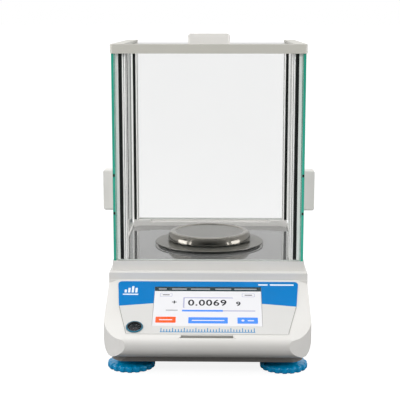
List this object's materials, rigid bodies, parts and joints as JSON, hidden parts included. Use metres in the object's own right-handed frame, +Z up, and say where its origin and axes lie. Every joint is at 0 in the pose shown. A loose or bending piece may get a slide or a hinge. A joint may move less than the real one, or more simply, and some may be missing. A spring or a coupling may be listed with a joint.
{
  "type": "analytical balance",
  "caption": "Laboratory analytical balance: sloping touch-screen panel, round steel pan in a glass draft shield with sliding side and top doors, and turning levelling feet.",
  "frame": {"origin": "on the bench, under the middle of the overall length and width", "axes": "+X to the user's right, +Y away from the user, +Z up; the panel faces -Y"},
  "size_m": [0.2332, 0.34, 0.345],
  "materials": {
    "shell_plastic": "fine moulded texture, warm white",
    "base_paint": "dark grey powder coat",
    "frame_plastic": "satin, light warm grey",
    "handle_plastic": "satin white",
    "overlay_film": "printed film, blue above a light grey field",
    "screen": "glossy lit display",
    "steel": "fine brushed",
    "polished_steel": "polished stainless",
    "aluminium": "bright drawn",
    "rubber": "black",
    "glass": "clear float glass with green edges",
    "level_plastic": "teal ring",
    "foot_plastic": "satin blue",
    "circuit_board": "green solder mask",
    "dark_plastic": "black",
    "dark_steel": "blackened steel"
  },
  "bodies": {
    "housing": {"upper_housing": "shell_plastic", "bottom_plate": "base_paint", "base_screw_1": "steel", "base_screw_2": "steel", "base_screw_3": "steel", "base_screw_4": "steel", "control_film": "overlay_film", "touch_screen": "screen", "display_module": "dark_plastic", "display_board": "circuit_board", "level_bezel": "level_plastic", "level_cup": "dark_plastic", "level_lens": "glass", "sensor_window": "dark_plastic", "weigh_cell_block": "aluminium", "weigh_cell_magnet": "dark_steel", "weigh_cell_lever": "aluminium", "pan_support": "polished_steel", "floor_plate": "steel", "left_front_pillar": "aluminium", "left_front_seal_strip": "rubber", "right_front_pillar": "aluminium", "right_front_seal_strip": "rubber", "left_rear_pillar": "aluminium", "left_rear_seal_strip": "rubber", "right_rear_pillar": "aluminium", "right_rear_seal_strip": "rubber", "top_frame": "frame_plastic", "front_glass": "glass", "rear_glass": "glass", "left_door_rail": "shell_plastic", "right_door_rail": "shell_plastic", "left_rear_foot": "rubber", "right_rear_foot": "rubber", "main_board": "circuit_board", "connector_bay": "dark_plastic", "power_socket": "rubber", "serial_port": "steel", "usb_port": "steel"},
    "left_door": {"left_door": "glass", "left_handle": "handle_plastic", "left_handle_lower_pad": "rubber", "left_handle_upper_pad": "rubber"},
    "right_door": {"right_door": "glass", "right_handle": "handle_plastic", "right_handle_lower_pad": "rubber", "right_handle_upper_pad": "rubber"},
    "top_door": {"top_door": "glass", "top_handle": "handle_plastic", "top_handle_left_pad": "rubber", "top_handle_right_pad": "rubber"},
    "draft_ring": {"draft_ring": "polished_steel"},
    "weighing_pan": {"weighing_pan": "polished_steel"},
    "left_foot": {"left_foot_knob": "foot_plastic", "left_foot_stud": "steel"},
    "right_foot": {"right_foot_knob": "foot_plastic", "right_foot_stud": "steel"}
  },
  "joints": [
    {"name": "left_door_slide", "type": "slide", "parent": "housing", "child": "left_door", "axis": [0, 1, 0], "range_m": [0, 0.17]},
    {"name": "right_door_slide", "type": "slide", "parent": "housing", "child": "right_door", "axis": [0, 1, 0], "range_m": [0, 0.17]},
    {"name": "top_door_slide", "type": "slide", "parent": "housing", "child": "top_door", "axis": [0, 1, 0], "range_m": [0, 0.15]},
    {"name": "draft_ring_lift", "type": "slide", "parent": "housing", "child": "draft_ring", "axis": [0, 0, 1], "range_m": [0, 0.06]},
    {"name": "pan_lift", "type": "slide", "parent": "draft_ring", "child": "weighing_pan", "axis": [0, 0, 1], "range_m": [0, 0.06]},
    {"name": "left_foot_turn", "type": "hinge", "parent": "housing", "child": "left_foot", "pos_m": [-0.08, -0.125, 0], "axis": [0, 0, 1], "continuous": true},
    {"name": "right_foot_turn", "type": "hinge", "parent": "housing", "child": "right_foot", "pos_m": [0.08, -0.125, 0], "axis": [0, 0, 1], "continuous": true}
  ]
}
